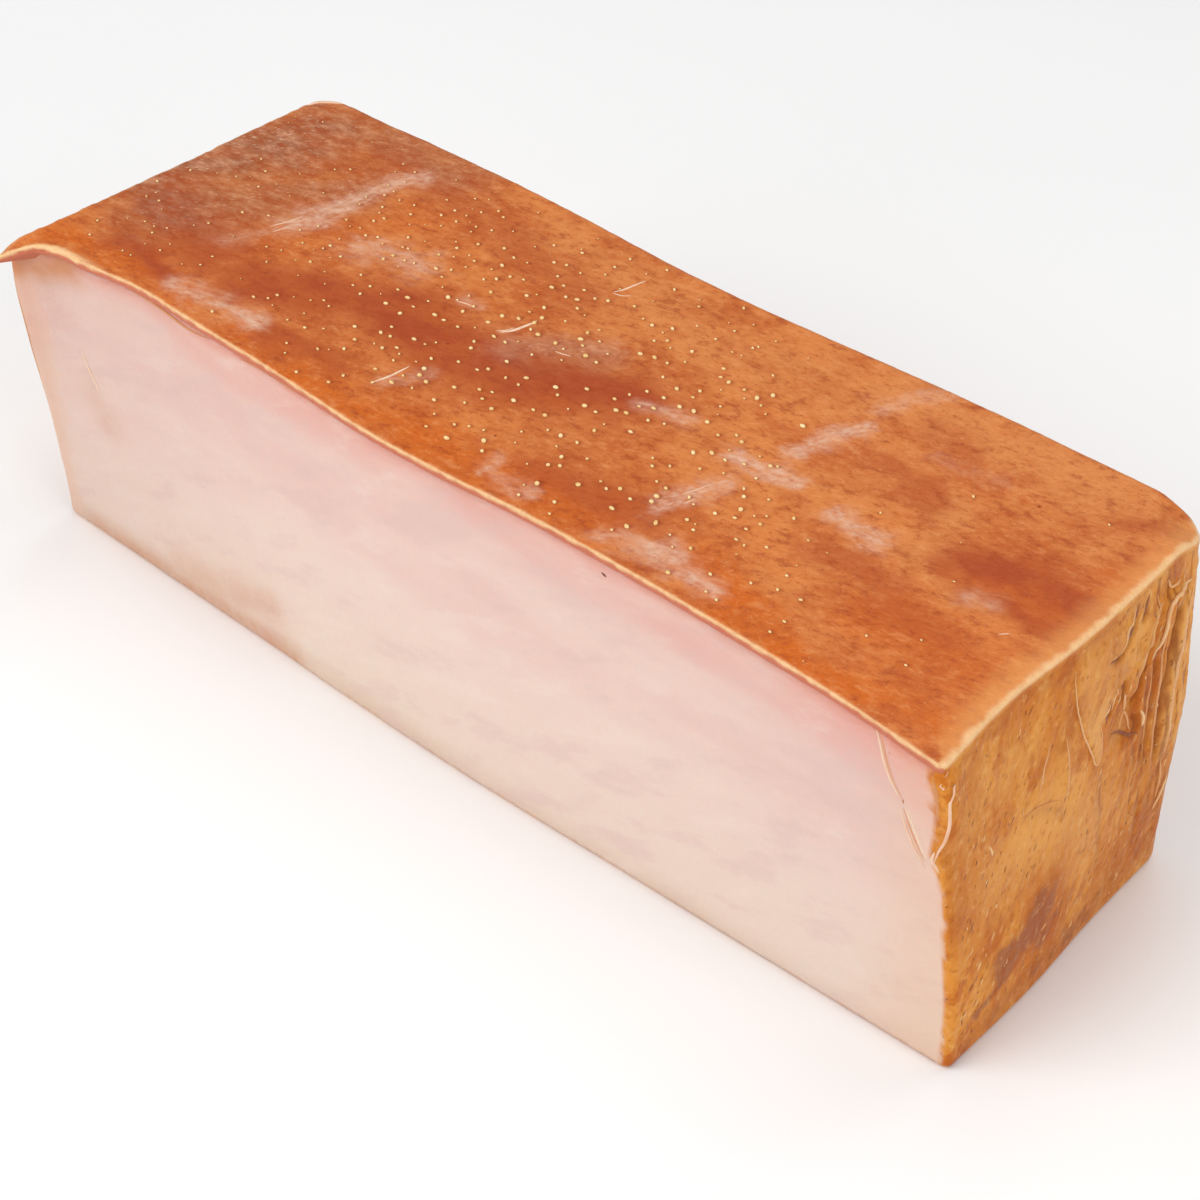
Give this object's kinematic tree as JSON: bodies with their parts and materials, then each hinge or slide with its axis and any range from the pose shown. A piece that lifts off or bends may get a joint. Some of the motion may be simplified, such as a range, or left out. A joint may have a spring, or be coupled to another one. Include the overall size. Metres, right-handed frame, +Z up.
{
  "type": "smoked pork fatback",
  "caption": "Oblong block of smoked pork back fat on its flat underside: amber rind on top, a fresh-cut long side, a smoked end with knife strokes. Food to slice.",
  "frame": {"origin": "on the underside, under the middle of the block", "axes": "+X along the block towards the smoked end with the knife strokes, +Y away from the fresh-cut long side, +Z up through the rind"},
  "size_m": [0.219, 0.08, 0.0702],
  "materials": {
    "fresh_fat": "fresh-cut pork fat, creamy pink, smooth, satin and slightly translucent, with a salmon tint under the rind",
    "rind": "smoked pork rind, amber to red brown, satin, with fine streaks, pale bloom and hair follicles",
    "smoked_fat": "smoked fat, golden ochre, satin, with smeared flakes, knife strokes and brown specks"
  },
  "bodies": {
    "root": {"fatback": "fresh_fat"}
  },
  "joints": []
}
